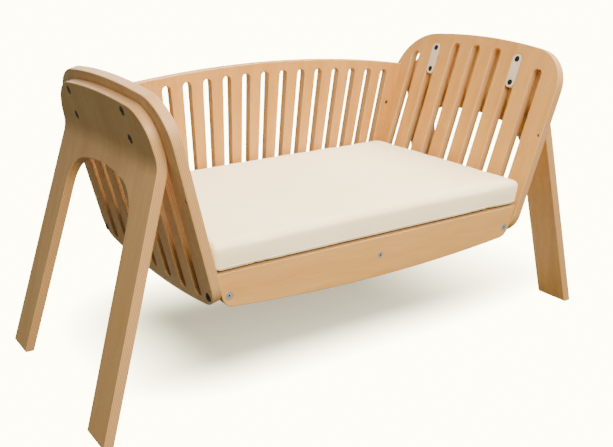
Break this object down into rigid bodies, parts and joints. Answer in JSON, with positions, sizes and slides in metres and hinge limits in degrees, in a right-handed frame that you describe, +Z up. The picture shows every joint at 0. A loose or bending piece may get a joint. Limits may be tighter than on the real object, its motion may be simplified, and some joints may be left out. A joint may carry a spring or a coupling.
{
  "type": "baby crib",
  "caption": "Plywood baby crib with an open front: slatted ends and back hang between two arched, height-adjustable leg frames over a low rail and a flat mattress.",
  "frame": {"origin": "on the floor, midway between the four feet", "axes": "+X along the crib to its right-hand end, -Y out of the open front, +Z up"},
  "size_m": [1.3106, 0.5208, 0.6446],
  "materials": {
    "beech_plywood": "clear satin lacquer over steamed beech veneer, bare lacquered ply edges",
    "solid_beech": "planed, clear matt lacquer",
    "slat_plywood": "sanded birch ply, unfinished",
    "pale_grey_plastic": "fine matt moulded surface",
    "black_steel": "black oxide, satin",
    "zinc_steel": "zinc-plated steel, slightly dulled",
    "cream_cotton": "plain-weave cotton cover over foam"
  },
  "bodies": {
    "left_legs": {"left_leg_frame": "beech_plywood", "left_front_clamp_block": "pale_grey_plastic", "left_rear_clamp_block": "pale_grey_plastic", "left_clamp_bolts": "black_steel", "left_clamp_sleeve_nuts": "black_steel"},
    "cradle": {"left_end_panel": "beech_plywood", "right_end_panel": "beech_plywood", "rear_panel": "beech_plywood", "front_rail": "beech_plywood", "centre_bearer": "solid_beech", "front_left_cleat": "solid_beech", "front_right_cleat": "solid_beech", "rear_left_cleat": "solid_beech", "rear_right_cleat": "solid_beech", "slat_1": "slat_plywood", "slat_2": "slat_plywood", "slat_3": "slat_plywood", "slat_4": "slat_plywood", "slat_5": "slat_plywood", "slat_6": "slat_plywood", "slat_7": "slat_plywood", "slat_8": "slat_plywood", "slat_9": "slat_plywood", "slat_10": "slat_plywood", "slat_11": "slat_plywood", "left_corner_bolts": "black_steel", "right_corner_bolts": "black_steel", "rail_barrel_nuts": "zinc_steel", "rear_barrel_nuts": "black_steel", "bearer_screws": "zinc_steel", "cup_washers": "zinc_steel"},
    "right_legs": {"right_leg_frame": "beech_plywood", "right_front_clamp_block": "pale_grey_plastic", "right_rear_clamp_block": "pale_grey_plastic", "right_clamp_bolts": "black_steel", "right_clamp_sleeve_nuts": "black_steel"},
    "mattress": {"mattress": "cream_cotton"}
  },
  "joints": [
    {"name": "height", "type": "slide", "parent": "left_legs", "child": "cradle", "axis": [-0.2588, 0, 0.9659], "range_m": [0, 0.12]},
    {"name": "right_height", "type": "slide", "parent": "cradle", "child": "right_legs", "axis": [-0.2588, 0, -0.9659], "range_m": [0, 0.12]},
    {"name": "mattress_lift", "type": "slide", "parent": "cradle", "child": "mattress", "axis": [0, 0, 1], "range_m": [0, 0.25]}
  ],
  "couplings": [
    {"joint": "right_height", "follows": "height", "ratio": 1}
  ]
}
